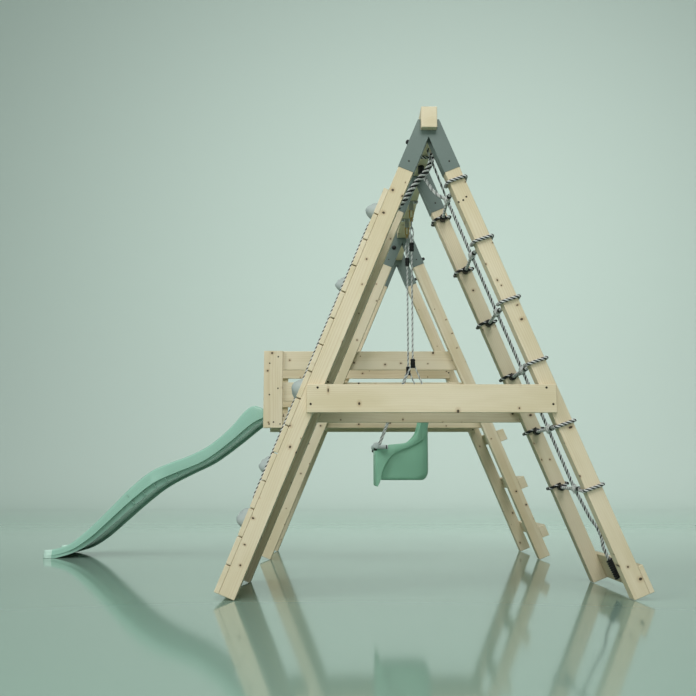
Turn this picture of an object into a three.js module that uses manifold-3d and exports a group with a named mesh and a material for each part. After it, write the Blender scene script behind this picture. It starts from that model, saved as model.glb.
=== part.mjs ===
// A wooden garden play frame: four A-frames carry one ridge beam. Between the first two A-frames hang a
// climbing wall and a rope net, between the middle two a baby swing, and the last two hold a deck with
// rails, ladder treads and a wavy slide. Millimetres, +Z up, the ridge runs along Y and the slide leaves
// towards -X.
import * as THREE from 'three';
import { mergeVertices } from 'three/addons/utils/BufferGeometryUtils.js';
import Module from 'manifold-3d';

const wasm = await Module();
wasm.setup();

// ---------------------------------------------------------------- driving dimensions

const GAP = 0.3; // clearance left between pieces that touch
const LEG = 70; // square section of every leg
const BOARD = { wide: 120, thick: 22 };
const LEAN = THREE.MathUtils.degToRad(22.43); // each leg leans this far from the vertical
const FOOT_X = 827; // half the distance between the inner edges of a frame's feet
const FRAME_Y = { a: 0, b: 626, c: 1855, d: 2468 }; // near face of each A-frame
const SIDES = { left: -1, right: 1 };

const APEX_Z = FOOT_X / Math.tan(LEAN); // where the inner faces of two legs would meet
const LEG_TOP_Z = 2024;
const RIDGE = { halfWide: 35, low: 2028, high: 2123, start: -38, end: 2576 };

const SHEET = 2; // steel sheet of the ridge brackets
const BRACKET_REACH = 1984; // how far up the leg the bracket begins
const BRACKET_TOP_Z = 2078;

const WALL = { boards: 15, pitch: 125 };
const HOLDS = [
  // distance up the leg, place along Y, height above the wall, radius
  [1817, 220, 51, 48],
  [1479, 400, 64, 48],
  [926, 220, 47, 58],
  [556, 400, 64, 52],
  [310, 220, 49, 48],
];

const CROSS_RAIL = { startX: -532, endX: 527, low: 775 }; // the rails across frames a and b
const TREAD_HEIGHTS = [114, 434, 751]; // lower edge of each ladder tread, measured up the leg
const TREAD = { wide: 70, thick: 45 };

const DECK_BEAM = { low: 810, high: 880 };
const DECK_BOARDS = { count: 11, gap: 5 };
const DECK_TOP_Z = DECK_BEAM.high + GAP + BOARD.thick;
const TOWER_END_X = -886; // the deck, its rails and its posts end here
const GUARDS = { lower: { low: 980, endX: 440 }, upper: { low: 1180, endX: 360 } };
const BEAM_END_X = 530;
const POST_TOP_Z = 1300;

const SLIDE = { nearY: 1957, farY: 2437, wall: 42, bed: 20, flange: 9, lip: 10 };

// The net hangs inside the right legs: depth is the place of its knots out from the legs' outer faces.
const NET = { rungs: 6, highest: 1928, pitch: 290, radius: 7, depth: -33, topLift: 20, liftStep: 5 };
const WINDING_PITCH = 2.6 * NET.radius; // how far a turn round the ridge beam moves along it
// Where the middle rope of the net goes below the last knot, as [distance up the leg, distance out].
const NET_FOOT = [[326, -22], [276, -10], [228, -10], [182, -22], [129, -20], [30, -16]];
// The two ropes that hang the top of the net under the ridge, from the ridge down to the first knot.
const NET_HANGERS = [
  [[18, 228, RIDGE.low - GAP], [18, 228, 2010], [30, 236, 1985]],
  [[5, 468, RIDGE.low - GAP], [5, 468, 2010], [9, 462, 1985], [61, 400, 1874]],
];
const WALL_ROPE = { radius: 7, y: 310, standOff: 24, low: 385, high: 1811, bend: 25, holeR: 9 };
// Above the wall the rope is doubled, from [distance up the leg, distance out] to the side of the ridge.
const DOUBLED = {
  radius: 12,
  wallEnd: [1856, -34],
  sag: [[-83, 1813], [-28, 1894], [24, 1956], [55, 2040]],
};

const SWING = { nearY: 1070, farY: 1430, pivotZ: 1985, ropeR: 5 };
const SWING_MID_Y = (SWING.nearY + SWING.farY) / 2;
const HANGER = { plateHalfX: 38, plateHalfY: 22, plate: 5, ear: 4, earInnerY: 8, earHalfX: 10 };
const PIN = { radius: 4, play: 0.8, halfLong: 14 };
const LINK = { eyeR: 11, eyeHalf: 5, shankR: 5, barrelR: 9, barrelLow: 1885, barrelHigh: 1935, low: 1840 };
const SLEEVE = { radius: 13, long: 50, tops: [1793, 1142] };
const FORK_Z = 1110; // here each rope parts into a front and a back strand
const SEAT = { halfWide: 145, shell: 18, low: 487, back: 93, top: 930, front: -176, cornerR: 55 };
const CROTCH_POST_HALF = 28;
const BAR = { x: -202, z: 672, radius: 17, past: 14, lugReach: 66, lugHalfY: 13, lugHalfZ: 11, boreR: 8 };

// ---------------------------------------------------------------- materials

const finish = (color, roughness, metalness = 0) => {
  return new THREE.MeshStandardMaterial({ color, roughness, metalness });
};
const WOOD = finish(0xcfc59a, 0.7);
const STEEL = finish(0x7f8f88, 0.45, 0.3);
const ZINC = finish(0xb9bcb8, 0.35, 0.9);
const BRASS = finish(0xb58a45, 0.35, 0.9);
const GREEN = finish(0x84b39c, 0.35);
const GREY_PLASTIC = finish(0x9fb2b0, 0.45);
const HOLD_PLASTIC = finish(0xaab3b3, 0.6);
const ROPE = finish(0x8d9491, 0.9);

// ---------------------------------------------------------------- solids

// A closed outline in the X-Z plane, extruded from nearY to farY.
function slab(outline, nearY, farY) {
  const shape = new THREE.Shape(outline.map(([x, z]) => new THREE.Vector2(x, z)));
  const solid = new THREE.ExtrudeGeometry(shape, { depth: farY - nearY, bevelEnabled: false });
  return solid.rotateX(Math.PI / 2).translate(0, farY, 0);
}

function block(low, high) {
  const size = high.map((value, axis) => value - low[axis]);
  const middle = high.map((value, axis) => (value + low[axis]) / 2);
  return new THREE.BoxGeometry(...size).translate(...middle);
}

// A curve that passes straight from point to point, one step of an extrusion for each stretch.
class Route extends THREE.Curve {
  constructor(points) {
    super();
    this.points = points.map((point) => new THREE.Vector3(...point));
    this.stretches = this.points.length - 1;
  }

  getPoint(t) {
    const place = THREE.MathUtils.clamp(t, 0, 1) * this.stretches;
    const index = Math.min(Math.floor(place + 1e-9), this.stretches - 1);
    return this.points[index].clone().lerp(this.points[index + 1], place - index);
  }

  getPointAt(t) {
    return this.getPoint(t);
  }

  getTangentAt(t) {
    const index = Math.round(t * this.stretches);
    const before = this.points[Math.max(index - 1, 0)];
    const after = this.points[Math.min(index + 1, this.stretches)];
    return after.clone().sub(before).normalize();
  }
}

// A round bar or rope of the given radius along a route.
function tube(points, radius, sides = 8) {
  const path = new Route(points);
  const turn = (2 * Math.PI) / sides;
  const ring = Array.from({ length: sides }, (_, i) => {
    return new THREE.Vector2(radius * Math.cos(i * turn), radius * Math.sin(i * turn));
  });
  return new THREE.ExtrudeGeometry(new THREE.Shape(ring), { steps: path.stretches, extrudePath: path });
}

function toSolid(geometry) {
  const bare = geometry.clone();
  bare.deleteAttribute('normal');
  bare.deleteAttribute('uv');
  const merged = mergeVertices(bare, 1e-3);
  return new wasm.Manifold(
    new wasm.Mesh({
      numProp: 3,
      vertProperties: new Float32Array(merged.attributes.position.array),
      triVerts: new Uint32Array(merged.index.array),
    }),
  );
}

function toGeometry(solid) {
  const mesh = solid.getMesh();
  const geometry = new THREE.BufferGeometry();
  geometry.setAttribute('position', new THREE.BufferAttribute(mesh.vertProperties, 3));
  geometry.setIndex(new THREE.BufferAttribute(mesh.triVerts, 1));
  return geometry;
}

const join = (...pieces) => toGeometry(pieces.map(toSolid).reduce((sum, piece) => sum.add(piece)));
const cut = (base, ...tools) => {
  return toGeometry(tools.map(toSolid).reduce((rest, tool) => rest.subtract(tool), toSolid(base)));
};

// ---------------------------------------------------------------- leaning coordinates

// The point a distance up a leg's outer face and a distance out from that face, as [x, z].
function onLeg(side, up, out) {
  const x = FOOT_X + LEG * Math.cos(LEAN) - up * Math.sin(LEAN) + out * Math.cos(LEAN);
  const z = LEG * Math.sin(LEAN) + up * Math.cos(LEAN) + out * Math.sin(LEAN);
  return [side * x, z];
}

function leaningBoard(side, low, high, inner, outer, nearY, farY) {
  const corners = [[low, inner], [low, outer], [high, outer], [high, inner]];
  return slab(corners.map(([up, out]) => onLeg(side, up, out)), nearY, farY);
}

// How far up the leg a line at the given distance out reaches a height.
const upToHeight = (z, out) => (z - (LEG + out) * Math.sin(LEAN)) / Math.cos(LEAN);

// ---------------------------------------------------------------- A-frames and ridge

// One half of the space inside an A: the leg's outline grown by a margin and stopped at a height.
function legOutline(side, low, margin, topZ, middleX) {
  const [innerX, innerZ] = onLeg(side, low, -LEG - margin);
  const apexZ = APEX_Z - margin / Math.sin(LEAN) - middleX / Math.tan(LEAN);
  return [
    [innerX, innerZ],
    onLeg(side, low, margin),
    onLeg(side, upToHeight(topZ, margin), margin),
    [side * middleX, topZ],
    [side * middleX, apexZ],
  ];
}

function leg(side, nearY) {
  return slab(legOutline(side, 0, 0, LEG_TOP_Z, GAP), nearY, nearY + LEG);
}

// A welded sheet-steel shoe: two sockets for the legs and a saddle for the ridge beam.
function bracket(nearY) {
  const shells = Object.values(SIDES).map((side) => {
    const outline = legOutline(side, BRACKET_REACH, SHEET, BRACKET_TOP_Z, 0);
    return slab(outline, nearY - SHEET, nearY + LEG + SHEET);
  });
  const legRoom = Object.values(SIDES).map((side) => {
    const outline = legOutline(side, BRACKET_REACH - LEG, GAP, LEG_TOP_Z + GAP, 0);
    return slab(outline, nearY - GAP, nearY + LEG + GAP);
  });
  const ridgeRoom = block(
    [-RIDGE.halfWide - GAP, nearY - LEG, RIDGE.low - GAP],
    [RIDGE.halfWide + GAP, nearY + 2 * LEG, RIDGE.high],
  );
  const cheekX = RIDGE.halfWide + GAP + SHEET;
  const wingRoom = Object.values(SIDES).map((side) => {
    const outline = [
      [side * cheekX, RIDGE.low + SHEET],
      onLeg(side, upToHeight(RIDGE.low + SHEET, GAP), GAP),
      onLeg(side, upToHeight(BRACKET_TOP_Z + SHEET, GAP), GAP),
      [side * cheekX, BRACKET_TOP_Z + SHEET],
    ];
    return slab(outline, nearY - GAP, nearY + LEG + GAP);
  });
  return cut(join(...shells), ...legRoom, ridgeRoom, ...wingRoom);
}

function ridgeBeam() {
  return block([-RIDGE.halfWide, RIDGE.start, RIDGE.low], [RIDGE.halfWide, RIDGE.end, RIDGE.high]);
}

// ---------------------------------------------------------------- rope round timber

const ROPE_OFF_WOOD = NET.radius + 3; // from a timber face to the middle of a rope wound round it

// The eight corners of a rope loop round a timber, with both halves measured to the timber's faces.
function loopRound(halfWide, halfTall) {
  const [wide, tall] = [halfWide + ROPE_OFF_WOOD, halfTall + ROPE_OFF_WOOD];
  const soft = NET.radius;
  return [
    [soft - wide, -tall], [-wide, soft - tall], [-wide, tall - soft], [soft - wide, tall],
    [wide - soft, tall], [wide, tall - soft], [wide, soft - tall], [wide - soft, -tall],
  ];
}

// One turn of rope round the ridge beam, starting up its side towards the net.
function turnRoundRidge(startY) {
  const middleZ = (RIDGE.low + RIDGE.high) / 2;
  const loop = loopRound(RIDGE.halfWide, RIDGE.high - middleZ).reverse();
  const step = WINDING_PITCH / loop.length;
  const [first, ...rest] = loop.map(([x, z], i) => [x, startY + step * i, middleZ + z]);
  return [...rest, [first[0], rest.at(-1)[1], first[2]]];
}

// ---------------------------------------------------------------- climbing wall

function wallBoard(index) {
  const low = index * WALL.pitch;
  const farY = FRAME_Y.b + LEG;
  const board = leaningBoard(SIDES.left, low, low + BOARD.wide, GAP, GAP + BOARD.thick, FRAME_Y.a, farY);
  const holdsRope = low < WALL_ROPE.high && WALL_ROPE.high < low + BOARD.wide;
  return holdsRope ? cut(board, ropeHole()) : board;
}

const wallPoint = (up, out, y = WALL_ROPE.y) => {
  const [x, z] = onLeg(SIDES.left, up, out);
  return [x, y, z];
};

function ropeHole() {
  return tube([wallPoint(WALL_ROPE.high, -LEG), wallPoint(WALL_ROPE.high, LEG)], WALL_ROPE.holeR, 16);
}

// A rounded climbing hold bolted flat on a wall board.
function hold(up, y, tall, wide) {
  const profile = [[0, 0], [1, 0], [1, 0.3], [0.85, 0.7], [0.5, 1], [0, 1]];
  const points = profile.map(([radius, height]) => new THREE.Vector2(radius * wide, height * tall));
  const [x, z] = onLeg(SIDES.left, up, BOARD.thick + 2 * GAP);
  const dome = new THREE.LatheGeometry(points, 12).rotateX(Math.PI / 2);
  return dome.rotateY(LEAN - Math.PI / 2).translate(x, y, z);
}

// A climbing rope: wound round the ridge, doubled down to the wall, through a hole near its top and down its
// outer face, a little off the boards, to a lower board.
function wallRope() {
  const { high, low, bend, radius } = WALL_ROPE;
  const face = GAP + BOARD.thick + GAP;
  const off = BOARD.thick + WALL_ROPE.standOff;
  const route = [
    DOUBLED.wallEnd,
    [high + bend / 2, -bend / 2],
    [high, -bend / 4],
    [high, face + bend / 4],
    [high - bend / 2, off - radius],
    [high - 2 * bend, off],
    [low + bend, off],
    [low, off - radius],
    [low, face],
  ];
  const single = tube(route.map(([up, out]) => wallPoint(up, out)), radius);
  const sag = DOUBLED.sag.map(([x, z]) => [x, WALL_ROPE.y, z]);
  const doubled = tube([wallPoint(...DOUBLED.wallEnd), ...sag], DOUBLED.radius, 12);
  return join(single, doubled, tube([sag.at(-1), ...turnRoundRidge(WALL_ROPE.y)], radius));
}

// ---------------------------------------------------------------- rope net

const netPoint = (up, out, y) => {
  const [x, z] = onLeg(SIDES.right, up, out);
  return [x, y, z];
};

// One turn of rope round a right leg, climbing by a little more than its own thickness.
function turnRoundLeg(up, frameY, startCorner) {
  const corners = loopRound(LEG / 2, LEG / 2);
  const climb = (2.4 * NET.radius) / corners.length;
  return corners.map((_, i) => {
    const [out, along] = corners[(startCorner + i) % corners.length];
    return netPoint(up + climb * i, out - LEG / 2, frameY + LEG / 2 + along);
  });
}

// Where the middle rope crosses a rung: the hangers lift the top of the net a little.
function netKnot(index) {
  const lift = NET.topLift - NET.liftStep * index;
  const middleY = (FRAME_Y.a + FRAME_Y.b + LEG) / 2;
  return netPoint(NET.highest - index * NET.pitch + lift, NET.depth, middleY);
}

function netRung(index) {
  const up = NET.highest - index * NET.pitch;
  const turnA = turnRoundLeg(up, FRAME_Y.a, 4).reverse();
  const turnB = turnRoundLeg(up, FRAME_Y.b, 0);
  return tube([...turnA, netKnot(index), ...turnB], NET.radius);
}

function ropeNet() {
  const rungs = Array.from({ length: NET.rungs }, (_, index) => netRung(index));
  const knots = rungs.map((_, index) => netKnot(index));
  const [, middleY] = knots[0];
  const foot = NET_FOOT.map(([up, out]) => netPoint(up, out, middleY));
  const middleRope = tube([...knots, ...foot], NET.radius);
  return join(...rungs, middleRope, ...NET_HANGERS.map((route) => tube([...route, netKnot(0)], NET.radius)));
}

function netFootBoard() {
  const farY = FRAME_Y.b + LEG;
  return leaningBoard(SIDES.right, 0, BOARD.wide, GAP, GAP + BOARD.thick, FRAME_Y.a, farY);
}

// ---------------------------------------------------------------- rails, tower and ladder

function crossRail(nearY) {
  const { startX, endX, low } = CROSS_RAIL;
  return block([startX, nearY, low], [endX, nearY + BOARD.thick, low + BOARD.wide]);
}

const innerFaceY = { c: FRAME_Y.c + LEG + GAP, d: FRAME_Y.d - BOARD.thick - GAP };
const postFaceY = { c: innerFaceY.c - BOARD.thick - GAP, d: innerFaceY.d + BOARD.thick + GAP };

function towerBoard(frame, low, high, endX) {
  return block([TOWER_END_X, innerFaceY[frame], low], [endX, innerFaceY[frame] + BOARD.thick, high]);
}

function post(frame) {
  return block(
    [TOWER_END_X, postFaceY[frame], DECK_BEAM.low],
    [TOWER_END_X + BOARD.wide, postFaceY[frame] + BOARD.thick, POST_TOP_Z],
  );
}

// The deck is one panel whose top is cut with the gaps between its boards.
function deck() {
  const nearY = innerFaceY.c;
  const farY = innerFaceY.d + BOARD.thick;
  const low = DECK_BEAM.high + GAP;
  const panel = block([TOWER_END_X, nearY, low], [BEAM_END_X, farY, DECK_TOP_Z]);
  const pitch = (BEAM_END_X - TOWER_END_X) / DECK_BOARDS.count;
  const web = 3; // wood left under each groove
  const grooves = Array.from({ length: DECK_BOARDS.count - 1 }, (_, index) => {
    const x = TOWER_END_X + pitch * (index + 1);
    const halfGap = DECK_BOARDS.gap / 2;
    return block([x - halfGap, nearY - 1, low + web], [x + halfGap, farY + 1, DECK_TOP_Z + 1]);
  });
  return cut(panel, ...grooves);
}

// A tread with a level top, its back cut to the lean of the leg.
function tread(up) {
  const farY = FRAME_Y.d + LEG;
  return leaningBoard(SIDES.right, up, up + TREAD.wide, GAP, GAP + TREAD.thick, FRAME_Y.c, farY);
}

// ---------------------------------------------------------------- slide

const curveThrough = (points, count) => {
  const curve = new THREE.SplineCurve(points.map(([x, z]) => new THREE.Vector2(x, z)));
  return curve.getPoints(count).map((point) => [point.x, point.y]);
};

const RIM_LINE = [
  [-800, 913], [-870, 924], [-944, 954], [-1007, 922], [-1101, 814], [-1226, 707], [-1351, 640],
  [-1476, 593], [-1601, 537], [-1724, 437], [-1845, 313], [-1966, 192], [-2087, 92], [-2180, 57],
  [-2266, 48],
];
const KEEL_LINE = [
  [-889, 866], [-960, 815], [-1070, 725], [-1240, 600], [-1405, 518], [-1560, 435], [-1690, 335],
  [-1843, 200], [-1952, 105], [-2050, 42], [-2150, 8], [-2200, 0],
];

// The bed follows the keel line, one bed thickness above it and square to it.
function bedLine(keel) {
  return keel.map(([x, z], index) => {
    const [ahead, behind] = [keel[Math.min(index + 1, keel.length - 1)], keel[Math.max(index - 1, 0)]];
    const slope = new THREE.Vector2(ahead[0] - behind[0], ahead[1] - behind[1]).normalize();
    return [x + SLIDE.bed * slope.y, z - SLIDE.bed * slope.x];
  });
}

function slide() {
  const rim = curveThrough(RIM_LINE, 44);
  const keel = curveThrough(KEEL_LINE, 36);
  const [topX] = RIM_LINE[0];
  const [footX] = RIM_LINE[RIM_LINE.length - 1];
  const seatZ = DECK_TOP_Z + GAP;
  const [keelTopX] = KEEL_LINE[0];
  const outline = [...rim, [footX, 0], ...keel.toReversed(), [keelTopX, seatZ], [topX, seatZ]];
  const flangeZ = seatZ + SLIDE.flange;
  const channel = [
    [topX + SLIDE.lip, flangeZ],
    [keelTopX + SLIDE.flange, flangeZ],
    ...bedLine(keel),
    [footX - SLIDE.lip, SLIDE.bed],
    [footX - SLIDE.lip, POST_TOP_Z],
    [topX + SLIDE.lip, POST_TOP_Z],
  ];
  return cut(
    slab(outline, SLIDE.nearY, SLIDE.farY),
    slab(channel, SLIDE.nearY + SLIDE.wall, SLIDE.farY - SLIDE.wall),
  );
}

// ---------------------------------------------------------------- baby swing

// A rod along Y at a place in the X-Z plane, reaching a half length each way.
function pinAlongY(x, y, z, halfLong, radius) {
  return tube([[x, y - halfLong, z], [x, y + halfLong, z]], radius, 12);
}

// A plate under the ridge with two ears and a pin for the swing's link.
function swingHanger(y) {
  const top = RIDGE.low - GAP;
  const { plateHalfX, plateHalfY, plate, ear, earInnerY, earHalfX } = HANGER;
  const base = block([-plateHalfX, y - plateHalfY, top - plate], [plateHalfX, y + plateHalfY, top]);
  const ears = [y - earInnerY - ear, y + earInnerY].map((nearY) => {
    return block([-earHalfX, nearY, SWING.pivotZ - earHalfX], [earHalfX, nearY + ear, top - plate / 2]);
  });
  return join(base, ...ears, pinAlongY(0, y, SWING.pivotZ, PIN.halfLong, PIN.radius));
}

// The link hangs on the pin by an eye and ends in a ring for the rope.
function swingLink(y) {
  const eye = pinAlongY(0, y, SWING.pivotZ, LINK.eyeHalf, LINK.eyeR);
  const shankTop = SWING.pivotZ - (LINK.eyeR + PIN.radius + PIN.play) / 2;
  const shank = tube([[0, y, shankTop], [0, y, LINK.low + GAP]], LINK.shankR);
  const barrel = tube([[0, y, LINK.barrelHigh], [0, y, LINK.barrelLow]], LINK.barrelR);
  const bore = pinAlongY(0, y, SWING.pivotZ, LINK.eyeR, PIN.radius + PIN.play);
  return cut(join(eye, shank, barrel), bore);
}

const BAR_GUIDE = { x: -188, z: 655 }; // the front strand leaves the bar's lug here
const FRONT_TIE = { x: -168, z: 640 };
const BACK_TIE = { x: 88, z: 908 };

// One suspension rope: a sleeve at each end, then a fork to the front and the back of the seat.
function swingRope(y, inward) {
  const seatSideY = SWING_MID_Y - inward * (SEAT.halfWide + GAP);
  const strand = (tie, ...guides) => {
    const run = [...guides, tie].map(({ x, z }) => [x, y, z]);
    return tube([[0, y, FORK_Z], ...run, [tie.x, seatSideY, tie.z]], SWING.ropeR);
  };
  const sleeves = SLEEVE.tops.map((top) => tube([[0, y, top], [0, y, top - SLEEVE.long]], SLEEVE.radius, 12));
  const main = tube([[0, y, LINK.low], [0, y, FORK_Z - SWING.ropeR]], SWING.ropeR);
  return join(main, ...sleeves, strand(FRONT_TIE, BAR_GUIDE), strand(BACK_TIE));
}

const SEAT_RIM = [
  [58, SEAT.top], [47, 860], [42, 797], [28, 751], [3, 718], [-29, 695], [-79, 682], [-137, 677],
  [SEAT.front, 672],
];

// The bucket of the seat: open above, with a post between two leg holes in front.
function swingSeat() {
  const nearY = SWING_MID_Y - SEAT.halfWide;
  const farY = SWING_MID_Y + SEAT.halfWide;
  const { shell, low, back, top, front, cornerR } = SEAT;
  const rim = curveThrough(SEAT_RIM, 20);
  const cornerSteps = 5;
  const corner = Array.from({ length: cornerSteps + 1 }, (_, i) => {
    const angle = (i / cornerSteps) * (Math.PI / 2);
    return [back - cornerR + cornerR * Math.sin(angle), low + cornerR - cornerR * Math.cos(angle)];
  });
  const flareZ = 800; // the back leans out a little above this height
  const flare = 12;
  const side = slab([[front, low], ...corner, [back, flareZ], [back + flare, top], ...rim], nearY, farY);
  const past = 20;
  const insideBack = back - shell;
  const floorZ = low + shell;
  const hollow = [
    [front - past, floorZ], [back - cornerR, floorZ], [insideBack - shell / 2, floorZ + shell / 2],
    [insideBack, low + cornerR], [insideBack, flareZ], [insideBack + flare, top + past],
    [front - past, top + past],
  ];
  const postTop = BAR.z - BAR.radius - 2 * GAP;
  const postSide = [
    [-212, postTop], [-206, 471], [-193, 452], [-178, low - 1], [-160, low + 2], [-160, floorZ],
    [-180, postTop],
  ];
  const post = slab(postSide, SWING_MID_Y - CROTCH_POST_HALF, SWING_MID_Y + CROTCH_POST_HALF);
  return join(cut(side, slab(hollow, nearY + shell, farY - shell)), post);
}

// The bar across the front slides up the two front ropes, which run through its lugs.
function safetyBar() {
  const reach = (SWING.farY - SWING.nearY) / 2 + BAR.past;
  const bar = pinAlongY(BAR.x, SWING_MID_Y, BAR.z, reach, BAR.radius);
  const ropes = [SWING.nearY, SWING.farY];
  const lugs = ropes.map((y) => {
    return block(
      [BAR.x, y - BAR.lugHalfY, BAR.z - BAR.lugHalfZ],
      [BAR.x + BAR.lugReach, y + BAR.lugHalfY, BAR.z + BAR.lugHalfZ],
    );
  });
  const rise = new THREE.Vector2(-BAR_GUIDE.x, FORK_Z - BAR_GUIDE.z).setLength(BAR.lugReach);
  const bores = ropes.map((y) => {
    const ends = [-1, 1].map((way) => [BAR_GUIDE.x + way * rise.x, y, BAR_GUIDE.z + way * rise.y]);
    return tube(ends, BAR.boreR, 12);
  });
  return cut(join(bar, ...lugs), ...bores);
}

// ---------------------------------------------------------------- assembly

const frame = new THREE.Group();

function add(name, geometry, material) {
  const mesh = new THREE.Mesh(geometry, material);
  mesh.name = name;
  frame.add(mesh);
}

add('ridge_beam', ridgeBeam(), WOOD);
for (const [letter, nearY] of Object.entries(FRAME_Y)) {
  for (const [word, side] of Object.entries(SIDES)) {
    add(`leg_${letter}_${word}`, leg(side, nearY), WOOD);
  }
  add(`ridge_bracket_${letter}`, bracket(nearY), STEEL);
}

for (let index = 0; index < WALL.boards; index += 1) {
  add(`wall_board_${index + 1}`, wallBoard(index), WOOD);
}
HOLDS.forEach((place, index) => {
  add(`climbing_hold_${index + 1}`, hold(...place), HOLD_PLASTIC);
});
add('wall_rope', wallRope(), ROPE);
add('rope_net', ropeNet(), ROPE);
add('net_foot_board', netFootBoard(), WOOD);
add('cross_rail_a', crossRail(FRAME_Y.a - GAP - BOARD.thick), WOOD);
add('cross_rail_b', crossRail(FRAME_Y.b + LEG + GAP), WOOD);

for (const letter of ['c', 'd']) {
  add(`deck_beam_${letter}`, towerBoard(letter, DECK_BEAM.low, DECK_BEAM.high, BEAM_END_X), WOOD);
  for (const [word, guard] of Object.entries(GUARDS)) {
    const rail = towerBoard(letter, guard.low, guard.low + BOARD.wide, guard.endX);
    add(`guard_rail_${letter}_${word}`, rail, WOOD);
  }
  add(`corner_post_${letter}`, post(letter), WOOD);
}
add('deck', deck(), WOOD);
TREAD_HEIGHTS.forEach((up, index) => add(`ladder_tread_${index + 1}`, tread(up), WOOD));
add('slide', slide(), GREEN);

for (const [word, y, inward] of [['near', SWING.nearY, 1], ['far', SWING.farY, -1]]) {
  add(`swing_hanger_${word}`, swingHanger(y), ZINC);
  add(`swing_link_${word}`, swingLink(y), BRASS);
  add(`swing_rope_${word}`, swingRope(y, inward), ROPE);
}
add('swing_seat', swingSeat(), GREEN);
add('safety_bar', safetyBar(), GREY_PLASTIC);

// The origin is under the middle of the whole frame, on the ground.
const bounds = new THREE.Box3().setFromObject(frame);
const middle = bounds.getCenter(new THREE.Vector3());
frame.position.set(-middle.x, -middle.y, -bounds.min.z);
const playFrame = new THREE.Group();
playFrame.add(frame);

export default playFrame;
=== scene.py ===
"""A wooden garden play frame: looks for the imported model. Lengths are metres, and the places that the script
works out are written in the frame's building coordinates, in millimetres, and turned into metres by at()."""

import random
from contextlib import contextmanager
from itertools import product
from math import cos, hypot, pi, radians, sin, sqrt

import bmesh
import bpy
from mathutils import Matrix, Vector


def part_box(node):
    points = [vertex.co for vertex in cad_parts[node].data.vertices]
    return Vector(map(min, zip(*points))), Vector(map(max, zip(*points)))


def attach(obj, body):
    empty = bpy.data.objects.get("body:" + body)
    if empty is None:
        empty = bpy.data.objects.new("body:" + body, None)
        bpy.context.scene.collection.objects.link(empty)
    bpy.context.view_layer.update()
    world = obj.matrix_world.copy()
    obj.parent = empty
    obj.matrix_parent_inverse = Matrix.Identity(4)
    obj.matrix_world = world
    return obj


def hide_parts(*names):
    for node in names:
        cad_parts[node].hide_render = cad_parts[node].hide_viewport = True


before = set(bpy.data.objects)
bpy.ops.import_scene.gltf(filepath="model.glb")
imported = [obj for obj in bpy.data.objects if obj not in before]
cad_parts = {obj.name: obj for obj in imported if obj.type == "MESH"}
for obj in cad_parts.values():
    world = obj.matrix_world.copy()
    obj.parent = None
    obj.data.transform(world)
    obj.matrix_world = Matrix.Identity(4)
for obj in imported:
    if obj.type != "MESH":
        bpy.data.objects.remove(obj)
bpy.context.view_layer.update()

MM = 0.001
FRAME_BODY = "play_frame"
SWING_BODY = "swing"
BAR_BODY = "bar"


# ---- places taken from the frame


def middle(node, axis):
    """The middle of a node's box along one axis, from 0 for X to 2 for Z."""
    low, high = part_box(node)
    return (low[axis] + high[axis]) / 2


# The building origin is on the ground, under the ridge, at the near face of the first A-frame.
ORIGIN = Vector((middle("ridge_beam", 0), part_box("leg_a_left")[0].y, 0))


def at(x, y, z):
    return ORIGIN + Vector((x, y, z)) * MM


def building_y(y):
    return (y - ORIGIN.y) / MM


LEAN = radians(22.43)
LEG = 70.0
FOOT_X = 827.0
LEG_Y = {letter: building_y(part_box(f"leg_{letter}_left")[0].y) for letter in "abcd"}
LEG_MIDDLE = {letter: y + LEG / 2 for letter, y in LEG_Y.items()}
LEFT, RIGHT = -1, 1


def on_leg(side, up, out, y):
    """The point a distance up a leg's outer face and a distance out from it."""
    x = FOOT_X + (LEG + out) * cos(LEAN) - up * sin(LEAN)
    z = (LEG + out) * sin(LEAN) + up * cos(LEAN)
    return at(side * x, y, z)


def up_leg(side):
    return Vector((-side * sin(LEAN), 0, cos(LEAN)))


def out_of_leg(side):
    return Vector((side * cos(LEAN), 0, sin(LEAN)))


# ---- camera

FOCAL_PIXELS = 914.0
PICTURE_WIDTH = 696
SENSOR = 36.0
CAMERA_PLACE = (-371, -3878, 512)
CAMERA_RISE, CAMERA_TURN = 7.94, -0.2035
VIEW_END = 60


def make_camera():
    data = bpy.data.cameras.new("camera")
    data.sensor_width = SENSOR
    data.lens = FOCAL_PIXELS / PICTURE_WIDTH * SENSOR
    data.clip_end = VIEW_END
    camera = bpy.data.objects.new("camera", data)
    camera.location = at(*CAMERA_PLACE)
    camera.rotation_euler = (radians(90 + CAMERA_RISE), 0, radians(CAMERA_TURN))
    bpy.context.scene.collection.objects.link(camera)
    bpy.context.scene.camera = camera


# ---- node helpers


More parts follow.
